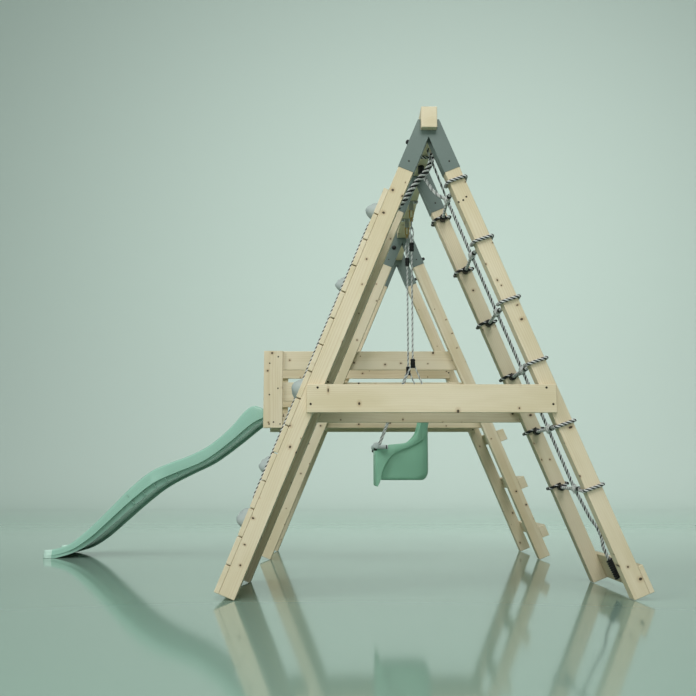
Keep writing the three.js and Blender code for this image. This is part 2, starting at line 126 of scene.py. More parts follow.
class Shader:
    """A material's node tree, built one node at a time."""

    def __init__(self, name):
        self.material = bpy.data.materials.new(name)
        self.material.use_nodes = True
        self.nodes = self.material.node_tree.nodes
        self.links = self.material.node_tree.links
        self.surface = self.nodes["Principled BSDF"]

    def add(self, kind, settings=None, **inputs):
        made = self.nodes.new(f"ShaderNode{kind}")
        for key, value in (settings or {}).items():
            setattr(made, key, value)
        for key, value in inputs.items():
            self.plug(made, key, value)
        return made

    def plug(self, made, key, value):
        name = key.replace("_", " ")
        socket = made.inputs[int(name[1:])] if name[1:].isdigit() else made.inputs[name]
        if isinstance(value, bpy.types.NodeSocket):
            self.links.new(value, socket)
        else:
            socket.default_value = value

    def math(self, operation, a, b=0.0):
        return self.add("Math", {"operation": operation}, i0=a, i1=b).outputs[0]

    def times(self, a, b):
        return self.math("MULTIPLY", a, b)

    def scaled(self, vector, scale):
        return self.add("VectorMath", {"operation": "MULTIPLY"}, i0=vector, i1=scale).outputs[0]

    def noise(self, vector, scale, detail=3.0, roughness=0.55):
        made = self.add("TexNoise", Vector=vector, Scale=scale, Detail=detail, Roughness=roughness)
        return made.outputs["Fac"]

    def spread(self, value, low, high, to_low=0.0, to_high=1.0, smooth=True):
        kind = "SMOOTHSTEP" if smooth else "LINEAR"
        made = self.add("MapRange", {"interpolation_type": kind}, Value=value, From_Min=low, From_Max=high,
                        To_Min=to_low, To_Max=to_high)
        return made.outputs["Result"]

    def mix(self, factor, a, b):
        return self.add("Mix", {"data_type": "RGBA"}, i0=factor, i6=a, i7=b).outputs[2]

    def bump(self, height, strength, distance):
        made = self.add("Bump", Height=height, Strength=strength, Distance=distance)
        self.paint(Normal=made.outputs[0])

    def paint(self, **inputs):
        """Sets or links the surface shader's own sockets."""
        for key, value in inputs.items():
            self.plug(self.surface, key, value)

    def object_place(self):
        return self.add("TexCoord").outputs["Object"]


def rgb(red, green, blue):
    """A colour given in sRGB from 0 to 255, as the linear colour that shaders use."""
    return tuple(((value / 255 + 0.055) / 1.055) ** 2.4 for value in (red, green, blue)) + (1.0,)


# ---- materials

# The wood's lengths are metres in each piece's own log.
RING_WIDTH = 0.0070
RING_BEND = 0.006
PITH_WANDER = 0.07
KNOTS_PER_METRE = 10.0
KNOTLESS_SHARE = 0.25
SMALL_KNOT, BIG_KNOT = 0.022, 0.064


def wood_material():
    """Planed spruce: growth rings, fine fibre and dark knots, read in each piece's own grain coordinates."""
    s = Shader("planed_softwood")
    grain = s.add("Attribute", {"attribute_name": "grain"}).outputs["Vector"]
    parts = s.add("SeparateXYZ", Vector=grain)
    warp = s.noise(s.scaled(grain, (1.3, 5.0, 5.0)), 1.0, 2.0)
    across = s.math("ADD", parts.outputs[1], s.times(warp, PITH_WANDER))
    around = s.math("ARCTAN2", parts.outputs[2], across)
    branches = s.add("CombineXYZ", X=s.times(parts.outputs[0], KNOTS_PER_METRE), Y=around).outputs[0]
    knots = s.add("TexVoronoi", {"feature": "F1", "voronoi_dimensions": "2D"}, Vector=branches, Scale=1.0,
                  Randomness=0.95)
    picked = s.add("SeparateColor", Color=knots.outputs["Color"]).outputs[0]
    shown = s.spread(picked, KNOTLESS_SHARE - 0.01, KNOTLESS_SHARE + 0.01)
    size = s.spread(picked, KNOTLESS_SHARE, 1.0, SMALL_KNOT, BIG_KNOT, smooth=False)
    reach = s.math("DIVIDE", knots.outputs["Distance"], size)
    core = s.times(s.spread(reach, 1.05, 0.85), shown)
    ring = s.times(s.spread(reach, 3.2, 0.9), shown)

    bent = s.math("ADD", across, s.times(ring, RING_BEND))
    flat = s.add("CombineXYZ", X=bent, Y=parts.outputs[2]).outputs[0]
    radius = s.add("VectorMath", {"operation": "LENGTH"}, i0=flat).outputs["Value"]
    year = s.math("FRACT", s.math("DIVIDE", radius, RING_WIDTH))
    late = s.times(s.spread(year, 0.35, 0.92), s.spread(year, 1.0, 0.93))
    uneven = s.noise(s.scaled(grain, (0.9, 14.0, 14.0)), 1.0, 2.0)
    late = s.times(late, s.spread(uneven, 0.3, 0.7, 0.25, 1.0))
    fibre = s.noise(s.scaled(grain, (9.0, 700.0, 700.0)), 1.0, 2.0)
    patch = s.noise(s.scaled(grain, (1.8, 9.0, 9.0)), 1.0, 3.0)

    early = s.mix(s.spread(patch, 0.35, 0.7), rgb(222, 211, 184), rgb(210, 198, 166))
    body = s.mix(s.times(late, 0.27), early, rgb(186, 158, 112))
    body = s.mix(s.times(fibre, 0.12), body, rgb(164, 140, 100))
    body = s.mix(s.times(ring, 0.34), body, rgb(158, 120, 76))
    body = s.mix(s.times(core, 0.92), body, rgb(46, 32, 20))
    s.paint(Base_Color=body, Roughness=s.spread(fibre, 0.2, 0.8, 0.50, 0.68), Specular_IOR_Level=0.35)
    s.bump(s.math("ADD", s.times(fibre, 0.6), s.times(late, 0.4)), 0.25, 0.0004)
    return s.material


def painted_steel_material():
    s = Shader("grey_green_paint")
    place = s.object_place()
    cloud = s.noise(place, 9.0, 4.0)
    peel = s.noise(place, 420.0, 2.0)
    s.paint(Base_Color=s.mix(cloud, rgb(95, 110, 104), rgb(104, 119, 113)))
    s.paint(Roughness=s.spread(peel, 0.3, 0.7, 0.36, 0.5))
    s.bump(peel, 0.12, 0.0006)
    s.paint(Metallic=0.15)
    return s.material


def plastic_material(name, light, dark, roughness, grain_size=900.0):
    """Moulded plastic: a slight mottle in the colour, a fine surface texture and faint scuffs."""
    s = Shader(name)
    place = s.object_place()
    mottle = s.noise(place, 6.0, 3.0)
    texture = s.noise(place, grain_size, 2.0)
    scuff = s.noise(s.scaled(place, (30.0, 6.0, 30.0)), 4.0, 5.0, 0.7)
    scuffed = s.spread(scuff, 0.60, 0.75)
    s.paint(Base_Color=s.mix(mottle, light, dark))
    s.paint(Roughness=s.math("ADD", roughness, s.times(scuffed, 0.12)))
    s.bump(texture, 0.10, 0.0004)
    s.paint(IOR=1.5)
    return s.material


def metal_material(name, light, dark, roughness):
    s = Shader(name)
    place = s.object_place()
    cloud = s.noise(place, 60.0, 4.0)
    scratch = s.noise(s.scaled(place, (1.0, 1.0, 14.0)), 90.0, 4.0)
    s.paint(Base_Color=s.mix(cloud, light, dark))
    s.paint(Roughness=s.spread(scratch, 0.3, 0.8, roughness, roughness + 0.2))
    s.bump(scratch, 0.08, 0.0003)
    s.paint(Metallic=1.0)
    return s.material


def rope_material(name, light, dark):
    s = Shader(name)
    place = s.object_place()
    fuzz = s.noise(place, 1400.0, 3.0, 0.7)
    cloud = s.noise(place, 40.0, 3.0)
    worn = s.times(s.math("ADD", fuzz, cloud), 0.5)
    s.paint(Base_Color=s.mix(worn, light, dark))
    s.bump(fuzz, 0.5, 0.0008)
    s.paint(Roughness=0.85, Sheen_Weight=0.15)
    return s.material


WOOD = wood_material()
STEEL = painted_steel_material()
GREEN = plastic_material("green_plastic", rgb(152, 193, 176), rgb(146, 186, 169), 0.27)
SEAT_GREEN = plastic_material("seat_green_plastic", rgb(146, 200, 172), rgb(139, 192, 165), 0.30)
# A paler green for the slide's foot: a painted highlight of the lip catching the light, in the same plastic.
SLIDE_FOOT_HIGHLIGHT = plastic_material("slide_foot_painted_highlight", rgb(196, 222, 210), rgb(184, 212, 199), 0.25)
BAR_GREY = plastic_material("pale_grey_plastic", rgb(200, 209, 208), rgb(186, 198, 197), 0.42)
HOLD_GREY = plastic_material("hold_plastic", rgb(170, 180, 177), rgb(148, 159, 156), 0.55, 300.0)
BLACK = plastic_material("black_plastic", rgb(17, 18, 18), rgb(12, 13, 13), 0.45)
ZINC = metal_material("zinc_plate", rgb(196, 198, 196), rgb(168, 172, 170), 0.28)
BRASS = metal_material("brass_plate", rgb(206, 174, 112), rgb(178, 146, 88), 0.34)
DARK_STEEL = metal_material("dark_screw_steel", rgb(70, 64, 56), rgb(50, 46, 40), 0.4)
ROPE_PALE = rope_material("rope_pale", rgb(222, 224, 220), rgb(190, 194, 192))
ROPE_GREY = rope_material("rope_grey", rgb(150, 154, 152), rgb(118, 122, 121))
ROPE_BLACK = rope_material("rope_black", rgb(30, 33, 32), rgb(15, 17, 16))


# ---- mesh helpers


def finish_piece(mesh_object, body, slot, *nodes):
    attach(mesh_object, body)
    if nodes:
        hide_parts(*nodes)
    return mesh_object


def object_from(name, mesh, *materials):
    made = bpy.data.objects.new(name, mesh)
    for material in materials:
        mesh.materials.append(material)
    bpy.context.scene.collection.objects.link(made)
    return made


@contextmanager
def edited(mesh):
    """A mesh opened for editing, then written back with smooth faces."""
    shaped = bmesh.new()
    shaped.from_mesh(mesh)
    yield shaped
    for face in shaped.faces:
        face.smooth = True
    shaped.to_mesh(mesh)
    shaped.free()


def sharp_edges(mesh, degrees):
    """Keeps a mesh smooth, except across edges that turn by more than the angle."""
    with edited(mesh) as shaped:
        for edge in shaped.edges:
            edge.smooth = not edge.is_manifold or edge.calc_face_angle(0) < radians(degrees)


def circle(sides):
    return [2 * pi * j / sides for j in range(sides)]


def ring_round(point, side, up, radius, sides):
    """A circle of points round a place, in the plane of two directions."""
    return [point + (side * cos(a) + up * sin(a)) * radius for a in circle(sides)]


def arc(x, y, radius, start, sweep, steps):
    """Points (x, y) along an arc, with its start and sweep in degrees."""
    turns = [radians(start + sweep * i / steps) for i in range(steps + 1)]
    return [(x + radius * cos(turn), y + radius * sin(turn)) for turn in turns]


def facing(place, direction):
    """The matrix that puts a turned shape at a place, with its axis along a direction."""
    return Matrix.Translation(place) @ direction.to_track_quat("Z", "Y").to_matrix().to_4x4()


class Skin:
    """Collects the points and faces of one piece, with a material number for each face."""

    def __init__(self):
        self.points = []
        self.faces = []
        self.materials = []

    def grid(self, rows, material=0, closed_along=False, sheet=False):
        """Rows of points, each a cross-section, joined into a capped skin, a closed ring or an open sheet."""
        base, count = len(self.points), len(rows[0])
        for row in rows:
            self.points.extend(row)
        for i in range(len(rows) if closed_along else len(rows) - 1):
            here = base + i * count
            ahead = base + (i + 1) % len(rows) * count
            for j in range(count - 1 if sheet else count):
                k = (j + 1) % count
                self.face([here + j, here + k, ahead + k, ahead + j], material)
        if not (closed_along or sheet):
            self.face([base + j for j in reversed(range(count))], material)
            self.face([base + (len(rows) - 1) * count + j for j in range(count)], material)

    def face(self, corners, material):
        self.faces.append(corners)
        self.materials.append(material)

    def lathe(self, profile, matrix, sides=20, material=0):
        """Turns (radius, height) points, in millimetres, about Z, then places the result."""
        rows = [[matrix @ Vector((r * MM * cos(a), r * MM * sin(a), h * MM)) for a in circle(sides)]
                for r, h in profile]
        self.grid(rows, material)

    def mesh(self, name):
        mesh = bpy.data.meshes.new(name)
        mesh.from_pydata([tuple(p) for p in self.points], [], self.faces)
        mesh.polygons.foreach_set("material_index", self.materials)
        with edited(mesh) as shaped:
            bmesh.ops.recalc_face_normals(shaped, faces=shaped.faces)
        return mesh

    def piece(self, name, materials, slot, *nodes, body=FRAME_BODY, crease=None):
        """Makes the collected faces one piece, sharp across edges that turn by more than the crease."""
        mesh = self.mesh(name)
        if crease:
            sharp_edges(mesh, crease)
        return finish_piece(object_from(name, mesh, *materials), body, slot, *nodes)


def frames_along(points):
    """Two steady side directions at each point of a path."""
    tangents = []
    for i in range(len(points)):
        ahead, behind = points[min(i + 1, len(points) - 1)], points[max(i - 1, 0)]
        tangents.append((ahead - behind).normalized())
    side = tangents[0].orthogonal().normalized()
    frames = []
    for tangent in tangents:
        side = (side - tangent * side.dot(tangent)).normalized()
        frames.append((side, tangent.cross(side)))
    return frames


def resample(points, step):
    """Points a fixed distance apart along a path of straight stretches."""
    lengths = [0.0]
    for a, b in zip(points, points[1:]):
        lengths.append(lengths[-1] + (b - a).length)
    count = max(2, round(lengths[-1] / step) + 1)
    made, index = [], 0
    for i in range(count):
        place = lengths[-1] * i / (count - 1)
        while index < len(points) - 2 and lengths[index + 1] < place:
            index += 1
        stretch = lengths[index + 1] - lengths[index]
        made.append(points[index].lerp(points[index + 1], (place - lengths[index]) / stretch))
    return made


def smooth_path(points, per_stretch=8):
    """A Catmull-Rom curve through the points."""
    padded = [points[0] * 2 - points[1], *points, points[-1] * 2 - points[-2]]
    made = []
    for p0, p1, p2, p3 in zip(padded, padded[1:], padded[2:], padded[3:]):
        for i in range(per_stretch):
            t = i / per_stretch
            made.append(0.5 * (2 * p1 + (p2 - p0) * t + (2 * p0 - 5 * p1 + 4 * p2 - p3) * t * t
                               + (3 * p1 - p0 - 3 * p2 + p3) * t * t * t))
    made.append(points[-1].copy())
    return made


ROPE_STEP = 0.0035
STRAND_OFF, STRAND_SWELL = 0.55, 1.22


def twist(skin, path, radius, pitch, materials, sides=7):
    """A laid rope: as many strands as materials, each winding round the path once in every pitch."""
    points = resample(path, ROPE_STEP)
    frames = frames_along(points)
    offset = radius * STRAND_OFF
    wide = (radius - offset) * STRAND_SWELL
    for k, material in enumerate(materials):
        rows = []
        for i, (point, (side, up)) in enumerate(zip(points, frames)):
            turn = 2 * pi * (i * ROPE_STEP / pitch + k / len(materials))
            centre = point + (side * cos(turn) + up * sin(turn)) * offset
            rows.append(ring_round(centre, side, up, wide, sides))
        skin.grid(rows, material)


# ---- timber

rng = random.Random(7)
EDGE = 0.0028
WELD = 1e-5
FLAT_TURN, EDGE_TURN = radians(1), radians(20)


def bevelled(mesh, width, segments=3):
    with edited(mesh) as shaped:
        bmesh.ops.remove_doubles(shaped, verts=shaped.verts, dist=WELD)
        bmesh.ops.dissolve_limit(shaped, angle_limit=FLAT_TURN, verts=shaped.verts, edges=shaped.edges)
        sharp = [edge for edge in shaped.edges if edge.is_manifold and edge.calc_face_angle() > EDGE_TURN]
        bmesh.ops.bevel(shaped, geom=sharp, offset=width, segments=segments, profile=0.5, affect="EDGES",
                        clamp_overlap=True)
        bmesh.ops.recalc_face_normals(shaped, faces=shaped.faces)


# How each piece lies in its own log, in metres: how far beside the pith, along and across it, and its tilt.
PITH_NEAR, PITH_FAR = 0.07, 0.12
LOG_LONG, LOG_SIDEWAYS, LOG_TILT = 40, 0.06, 0.012


def set_grain(mesh, along, across):
    """Stores each point's place in the piece's own log: along the grain, across it and through it."""
    through = along.cross(across)
    beside = rng.choice((-1, 1)) * rng.uniform(PITH_NEAR, PITH_FAR)
    shift = Vector((rng.uniform(0, LOG_LONG), rng.uniform(-LOG_SIDEWAYS, LOG_SIDEWAYS), beside))
    tilt = rng.uniform(-LOG_TILT, LOG_TILT)
    centre = sum((v.co for v in mesh.vertices), Vector()) / len(mesh.vertices)
    layer = mesh.attributes.new("grain", "FLOAT_VECTOR", "POINT")
    for vertex, item in zip(mesh.vertices, layer.data):
        place = vertex.co - centre
        run = place.dot(along)
        item.vector = Vector((run, place.dot(across) + tilt * run, place.dot(through))) + shift


def flat_faced(name, mesh, material, slot, *nodes):
    """A piece of the frame whose faces stay flat between their bevels."""
    piece = object_from(name, mesh, material)
    modifier = piece.modifiers.new("flat_faces", "WEIGHTED_NORMAL")
    modifier.keep_sharp = True
    modifier.weight = 100
    finish_piece(piece, FRAME_BODY, slot, *nodes)


def timber(name, mesh, along, across, *nodes):
    bevelled(mesh, EDGE)
    set_grain(mesh, along, across)
    flat_faced(name, mesh, WOOD, "softwood", *nodes)


def node_mesh(node):
    """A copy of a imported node's mesh, without its materials."""
    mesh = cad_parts[node].data.copy()
    mesh.materials.clear()
    return mesh


def timber_from_node(node, along, across):
    timber(f"timber_{node}", node_mesh(node), along, across, node)


X_AXIS, Y_AXIS, Z_AXIS = Vector((1, 0, 0)), Vector((0, 1, 0)), Vector((0, 0, 1))


def make_timber():
    timber_from_node("ridge_beam", Y_AXIS, X_AXIS)
    for letter in "abcd":
        for word, side in (("left", LEFT), ("right", RIGHT)):
            timber_from_node(f"leg_{letter}_{word}", up_leg(side), out_of_leg(side))
    for node in sorted(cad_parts):
        if node.startswith("wall_board_"):
            timber_from_node(node, Y_AXIS, up_leg(LEFT))
        if node.startswith(("cross_rail_", "deck_beam_", "guard_rail_")):
            timber_from_node(node, X_AXIS, Z_AXIS)
        if node.startswith("corner_post_"):
            timber_from_node(node, Z_AXIS, X_AXIS)
        if node.startswith("ladder_tread_"):
            timber_from_node(node, Y_AXIS, up_leg(RIGHT))
    timber_from_node("net_foot_board", Y_AXIS, up_leg(RIGHT))


DECK_LOW, DECK_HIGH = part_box("deck")
DECK_BOARDS = 11
DECK_GAP = 0.005
DECK_PITCH = (DECK_HIGH.x - DECK_LOW.x + DECK_GAP) / DECK_BOARDS


def make_deck():
    (_, y0, z0), (_, y1, z1) = DECK_LOW, DECK_HIGH
    for index in range(DECK_BOARDS):
        start = DECK_LOW.x + DECK_PITCH * index
        ends = (start, start + DECK_PITCH - DECK_GAP)
        skin = Skin()
        skin.grid([[Vector((x, y, z)) for y, z in ((y0, z0), (y1, z0), (y1, z1), (y0, z1))] for x in ends])
        name = f"deck_board_{index + 1}"
        timber(name, skin.mesh(name), Y_AXIS, X_AXIS, *(["deck"] if index == 0 else []))


# ---- steel brackets

STEEL_EDGE = 0.0007


def make_brackets():
    for letter in "abcd":
        node = f"ridge_bracket_{letter}"
        mesh = node_mesh(node)
        bevelled(mesh, STEEL_EDGE, 2)
        flat_faced(f"steel_{node}", mesh, STEEL, "grey_painted_steel", node)


# ---- slide

SLIDE_LOW, SLIDE_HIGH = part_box("slide")
SLIDE_NEAR = building_y(SLIDE_LOW.y)
SLIDE_WIDE = (SLIDE_HIGH.y - SLIDE_LOW.y) / MM
DECK_TOP = DECK_HIGH.z / MM
DECK_END_X = (DECK_LOW.x - ORIGIN.x) / MM
SLIDE_SHELL = 5
BED_DEPTH = 20
BED_RIDGES = (112, 172, 232)
FLANGE = 9
FOOT_CORNER = 50
FULL_RAIL = 55
# Each ramp is where a change starts and how long it runs, along the slide or up its rail.
RECESS, RECESS_RAMP = 34, (50, 50)
LEDGE, LEDGE_RAMP = 5, (1480, 200)
LIP_SHARE, LIP_GAIN, LIP_RAMP = 0.20, 0.14, (1300, 250)
RIM_LINE = [
    (-800, 913), (-870, 924), (-944, 954), (-1007, 922), (-1101, 814), (-1226, 707), (-1351, 640),
    (-1476, 593), (-1601, 537), (-1724, 437), (-1845, 313), (-1966, 192), (-2087, 92), (-2180, 57),
    (-2266, 48),
]
KEEL_LINE = [
    (-889, 866), (-960, 815), (-1070, 725), (-1240, 600), (-1405, 518), (-1560, 435), (-1690, 335),
    (-1843, 200), (-1952, 105), (-2050, 42), (-2150, 8), (-2200, 0), (-2266, 0),
]


def smooth_line(points):
    """A curve through (x, z) points, from its highest x to its lowest."""
    return [(p.x, p.z) for p in smooth_path([Vector((x, 0, z)) for x, z in points])]


def height_on(line, x):
    """The height of a line at x, where the line runs towards -X."""
    for (x0, z0), (x1, z1) in zip(line, line[1:]):
        if x1 <= x <= x0:
            return z0 + (z1 - z0) * (x0 - x) / (x0 - x1)
    return line[0][1] if x > line[0][0] else line[-1][1]


RIM = smooth_line(RIM_LINE)
KEEL = smooth_line(KEEL_LINE)
SLIDE_END_X = RIM_LINE[-1][0]
OFF_GROUND = 0.5
SLOPE_REACH = 20


def ramp(value, start, run):
    """0 up to the start, 1 from a run beyond it, and straight between the two."""
    return min(max((value - start) / run, 0), 1)


def keel_slope(x):
    return (height_on(KEEL, x + SLOPE_REACH) - height_on(KEEL, x - SLOPE_REACH)) / (2 * SLOPE_REACH)


def slide_heights(x):
    """The heights of rim, bed and keel at x."""
    rim = height_on(RIM, x)
    if x > KEEL_LINE[0][0]:
        keel = DECK_TOP + OFF_GROUND
        return rim, min(keel + FLANGE, rim - 1), keel
    keel = max(height_on(KEEL, x), OFF_GROUND)
    return rim, keel + BED_DEPTH * hypot(1, keel_slope(x)), keel


def slide_section(x, solid=False):
    """One closed section of the moulded shell: two hollow rails with a bed between them."""
    rim, bed, keel = slide_heights(x)
    into_corner = max(0.0, SLIDE_END_X + FOOT_CORNER - x)
    corner = FOOT_CORNER - sqrt(max(FOOT_CORNER ** 2 - into_corner ** 2, 0))
    half_wide = SLIDE_WIDE / 2
    fade = LEDGE * ramp(-x, *LEDGE_RAMP)
    size = min(1.0, (rim - bed) / FULL_RAIL)
    tall = rim - keel
    recess = RECESS * ramp(tall, *RECESS_RAMP)
    lip = keel + tall * (LIP_SHARE + LIP_GAIN * ramp(-x, *LIP_RAMP))
    upper = [
        (recess, keel), (recess, lip - 3), (0, lip), (0, lip + 0.06 * tall), (fade, lip + 0.09 * tall),
        (fade, lip + 0.20 * tall), (2 * fade, lip + 0.23 * tall), (2 * fade, rim - 14 * size),
        (2 * fade + 3, rim - 6 * size), (2 * fade + 9, rim - 1.5 * size), (20, rim), (30, rim - 2 * size),
        (37, rim - 8 * size), (41, rim - 18 * size), (48, bed + 16 * size), (54, bed + 6 * size), (66, bed),
    ]
    for ridge in BED_RIDGES:
        upper += [(ridge - 6, bed), (ridge - 3, bed + 2.5), (ridge + 3, bed + 2.5), (ridge + 6, bed)]
    floor = keel if solid else bed - SLIDE_SHELL
    under_rim = rim - SLIDE_SHELL
    lower = [
        (66, floor), (50, floor + 2 * size), (43, bed + 14 * size), (36, under_rim - 18 * size),
        (28, under_rim - 5 * size), (2 * fade + 12, under_rim - 4 * size), (2 * fade + 6, rim - 18 * size),
        (recess + SLIDE_SHELL, lip + 2), (recess + SLIDE_SHELL, keel),
    ]
    if solid:
        lower = [(across, keel) for across, _ in lower]
    half = upper[:-2]

    def rail_point(across, z, mirrored):
        y = corner + across * (half_wide - corner) / half_wide
        return at(x, SLIDE_NEAR + (SLIDE_WIDE - y if mirrored else y), z)

    around = [(half, 1, False), (half, -1, True), (lower, -1, True), (lower, 1, False)]
    return [rail_point(across, z, mirrored) for line, way, mirrored in around for across, z in line[::way]]


RIB_START_X, RIB_END_X, RIB_PITCH = -1695, -1427, 67
RIB_HALF, RIB_SHARE = 2.0, 0.6


def rail_rib(skin, x, mirrored):
    """A thin cross rib inside one hollow rail of the slide."""
    rim, _, keel = slide_heights(x)
    lean = Vector((-keel_slope(x), 0, 1)).normalized()
    tall = (rim - keel) * RIB_SHARE
    rows = []
    for half in (-RIB_HALF, RIB_HALF):
        ring = []
        for across, up in ((10, 3), (46, 3), (43, tall), (10, tall)):
            y = SLIDE_WIDE - across if mirrored else across
            ring.append(at(x + lean.x * up + half, SLIDE_NEAR + y, keel + lean.z * up))
        rows.append(ring)
    skin.grid(rows)


STATION_STEP, CORNER_STATIONS = 15, 10
# From the slide's end up to here the faces take the paler green, a painted highlight on the lip.
HIGHLIGHT_LIP_X = SLIDE_END_X + FOOT_CORNER * 1.3


def make_slide():
    stations = [RIM_LINE[0][0] - 1, -830, -860, DECK_END_X + 1, DECK_END_X - 3.5]
    x = DECK_END_X - 12
    while x > SLIDE_END_X + FOOT_CORNER:
        stations.append(x)
        x -= STATION_STEP
    for i in range(CORNER_STATIONS):
        stations.append(SLIDE_END_X + FOOT_CORNER * (1 - sin(pi / 2 * i / CORNER_STATIONS)))
    skin = Skin()
    rows = [slide_section(x) for x in stations]
    rows += [slide_section(SLIDE_END_X + 4, True), slide_section(SLIDE_END_X + 0.3, True)]
    skin.grid(rows)
    for index in range(round((RIB_END_X - RIB_START_X) / RIB_PITCH) + 1):
        for mirrored in (False, True):
            rail_rib(skin, RIB_START_X + RIB_PITCH * index, mirrored)
    piece = skin.piece("slide_shell", (GREEN, SLIDE_FOOT_HIGHLIGHT), "green_plastic", "slide", crease=40)
    # Faces nearer the end than this take the paler green: a painted highlight where the lip catches the light.
    highlight_x = at(HIGHLIGHT_LIP_X, 0, 0).x
    for face in piece.data.polygons:
        face.material_index = int(face.center.x < highlight_x)


# ---- baby swing

SWING_Y = {word: building_y(middle(f"swing_link_{word}", 1)) for word in ("near", "far")}
SEAT_Y = sum(SWING_Y.values()) / 2
SEAT_HALF = 145
SEAT_LOW = 487

# The collar of the seat from the middle of the front to the middle of the back: x, y, lower edge, upper edge.
# A tongue hangs in the middle of the front, and each side is a flat wing with a curved lower edge.
COLLAR_FRONT = [
    (-208, 0, 456, 650), (-208, 20, 457, 650), (-208, 27, 464, 650), (-208, 29.5, 610, 650),
    (-208, 36, 624, 650), (-208, 104, 624, 651), (-208, 112, 612, 652), (-208, 116, 470, 652),
    (-207, 128, 458, 653), (-203, 139, 455, 654),
]
COLLAR_SIDE = [
    (-195, 145, 452, 656), (-188, 145, 462, 658), (-176, 145, 490, 664), (-163, 145, 545, 670),
    (-130, 145, 602, 678), (-96, 145, 632, 681), (-52, 145, 653, 686), (-29, 145, 660, 694),
    (3, 145, 675, 718), (28, 144, 689, 751), (42, 142, 698, 797), (54, 138, 707, 862),
    (68, 128, 728, 916), (82, 110, 764, 930), (91, 84, 800, 936), (97, 45, 826, 939), (99, 0, 835, 940),
]
COLLAR_EDGE = [(x, low) for x, _, low, _ in reversed(COLLAR_SIDE)]
COLLAR_THICK = 7


def collar_section(before, here, after):
    """A closed section of the collar: a thin band with a rounded upper lip."""
    x, y, low, high = here
    out = Vector((before[1] - after[1], after[0] - before[0])).normalized()
    ring = [
        (0, low + 2), (0, high - 4), (1.5, high - 1), (COLLAR_THICK / 2, high),
        (COLLAR_THICK - 1.5, high - 1), (COLLAR_THICK, high - 5), (COLLAR_THICK, low + 2),
        (COLLAR_THICK - 2, low), (2, low),
    ]
    return [at(x + out.x * inward, SEAT_Y + y + out.y * inward, z) for inward, z in ring]


def smooth_stations(stations, per_stretch=4):
    """Evens out a table of (x, y, low, high) stations with curves through them."""
    plan = smooth_path([Vector((x, y, low)) for x, y, low, _ in stations], per_stretch)
    tops = smooth_path([Vector((x, y, high)) for x, y, _, high in stations], per_stretch)
    return [(a.x, a.y, a.z, b.z) for a, b in zip(plan, tops)]


def add_collar(skin):
    half = COLLAR_FRONT + smooth_stations(COLLAR_SIDE)
    near = [(x, -y, low, high) for x, y, low, high in half]
    around = near + half[-2:0:-1]
    rows = [collar_section(*three) for three in zip(around[-1:] + around, around, around[1:] + around[:1])]
    skin.grid(rows, closed_along=True)


BODY_PLAN = [
    (-172, 118), (-120, 125), (-60, 127), (0, 127), (34, 125), (62, 117), (79, 101), (86, 78), (89, 40),
    (90, 0),
]
BODY_WALL = 6
BODY_TUCK = 16
BEND, BEND_GAIN, BEND_RAMP, BEND_STEPS = 20, 34, (20, 60), 6
ROUND_BACK_X = 22


def body_section(x, y):
    """A closed section of the bucket from the middle of its floor out to its wall and up."""
    bend = BEND + BEND_GAIN * ramp(x, *BEND_RAMP)
    top = height_on(COLLAR_EDGE, x) + BODY_TUCK
    centre = Vector((min(x, ROUND_BACK_X), 0))
    wall = Vector((x, y))
    out = (wall - centre).normalized()
    reach = (wall - centre).length
    outer = [(0, SEAT_LOW)]
    inner = [(0, SEAT_LOW + BODY_WALL)]
    for i in range(BEND_STEPS + 1):
        turn = pi / 2 * i / BEND_STEPS
        outer.append((reach - bend + bend * sin(turn), SEAT_LOW + bend - bend * cos(turn)))
        tight = bend - BODY_WALL
        inner.append((reach - bend + tight * sin(turn), SEAT_LOW + bend - tight * cos(turn)))
    outer.append((reach, top))
    inner.append((reach - BODY_WALL, top))
    ring = outer + inner[::-1]
    return [at(centre.x + out.x * r, SEAT_Y + out.y * r, z) for r, z in ring]


def add_bucket(skin):
    plan = [(p.x, p.y) for p in smooth_path([Vector((x, y, 0)) for x, y in BODY_PLAN], 4)]
    around = [(x, -y) for x, y in plan] + plan[-2::-1]
    skin.grid([body_section(x, y) for x, y in around])
    bridge = [(-201, 487), (-165, 487), (-165, 494), (-201, 496)]
    skin.grid([[at(x, SEAT_Y + y, z) for x, z in bridge] for y in (-24, 24)])


def make_seat():
    skin = Skin()
    add_collar(skin)
    add_bucket(skin)
    skin.piece("seat_shell", (SEAT_GREEN,), "green_plastic", "swing_seat", body=SWING_BODY, crease=50)


BAR_X, BAR_Z, BAR_RADIUS, BAR_PAST_ROPES = -202, 672, 15, 12
LUG_DROP = 8
UPRIGHT = Matrix.Identity(4)
ALONG_Y = Matrix.Rotation(radians(90), 4, "X")
ALONG_X = Matrix.Rotation(radians(90), 4, "Y")
TURN_ROUND = Matrix.Rotation(radians(180), 4, "X")


def placed(turn, x, y, z):
    return Matrix.Translation(at(x, y, z)) @ turn


